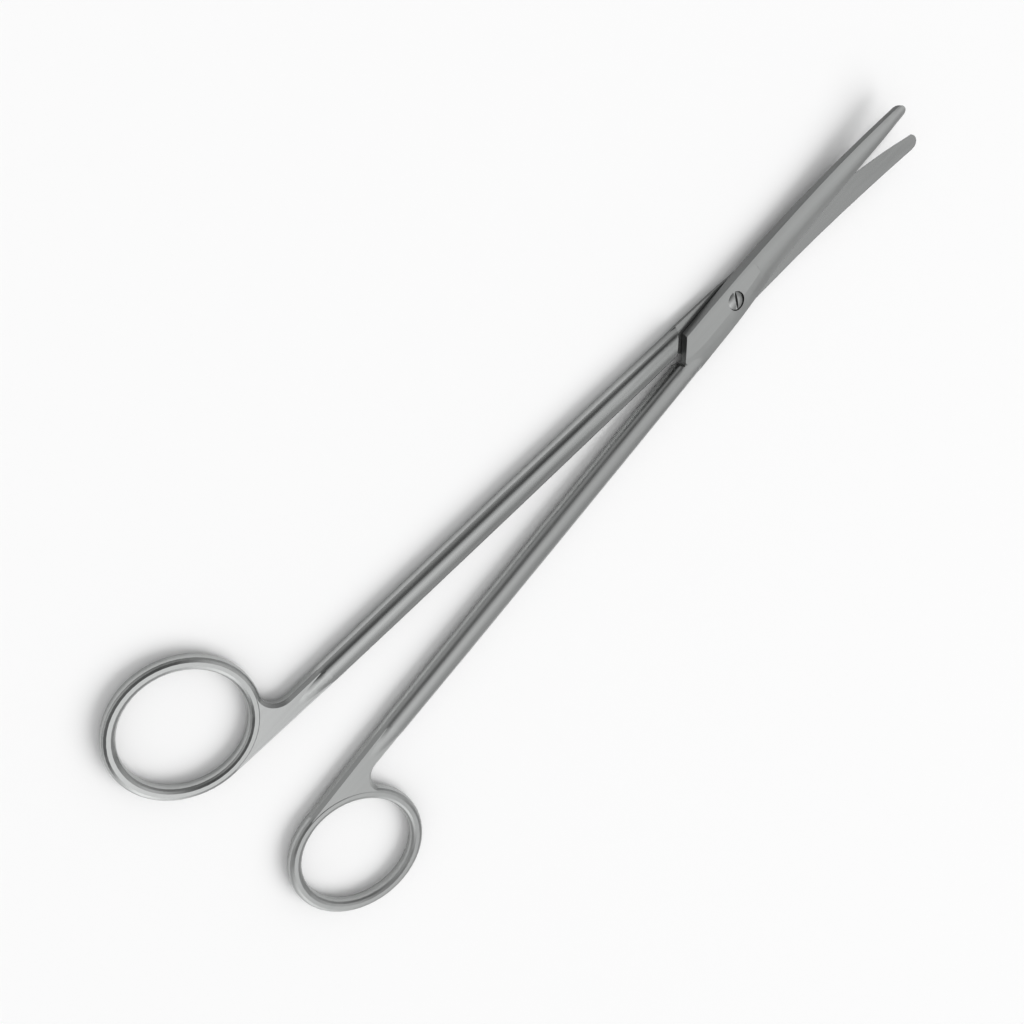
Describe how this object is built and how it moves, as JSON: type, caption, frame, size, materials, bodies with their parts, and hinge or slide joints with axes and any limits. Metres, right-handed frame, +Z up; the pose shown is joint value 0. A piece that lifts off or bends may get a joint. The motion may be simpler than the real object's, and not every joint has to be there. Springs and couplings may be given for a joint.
{
  "type": "dissecting scissors",
  "caption": "Long slender dissecting scissors with two finger rings, a slotted pivot screw and short blades that curve upwards.",
  "frame": {"origin": "on the pivot axis, in the plane the scissors rest on", "axes": "+X along the middle line to the tips, +Y towards the lower half's finger ring, +Z up, the way the blades curve"},
  "size_m": [0.1975, 0.0746, 0.0064],
  "materials": {
    "satin_steel_upper": "satin",
    "satin_steel_lower": "satin",
    "screw_steel": "satin"
  },
  "bodies": {
    "lower": {"lower_half": "satin_steel_lower", "pivot_screw": "screw_steel"},
    "upper": {"upper_half": "satin_steel_upper"}
  },
  "joints": [
    {"name": "blade_pivot", "type": "hinge", "parent": "lower", "child": "upper", "pos_m": [0, 0, 0], "axis": [0, 0, 1], "range_deg": [-5.3, 32]}
  ]
}
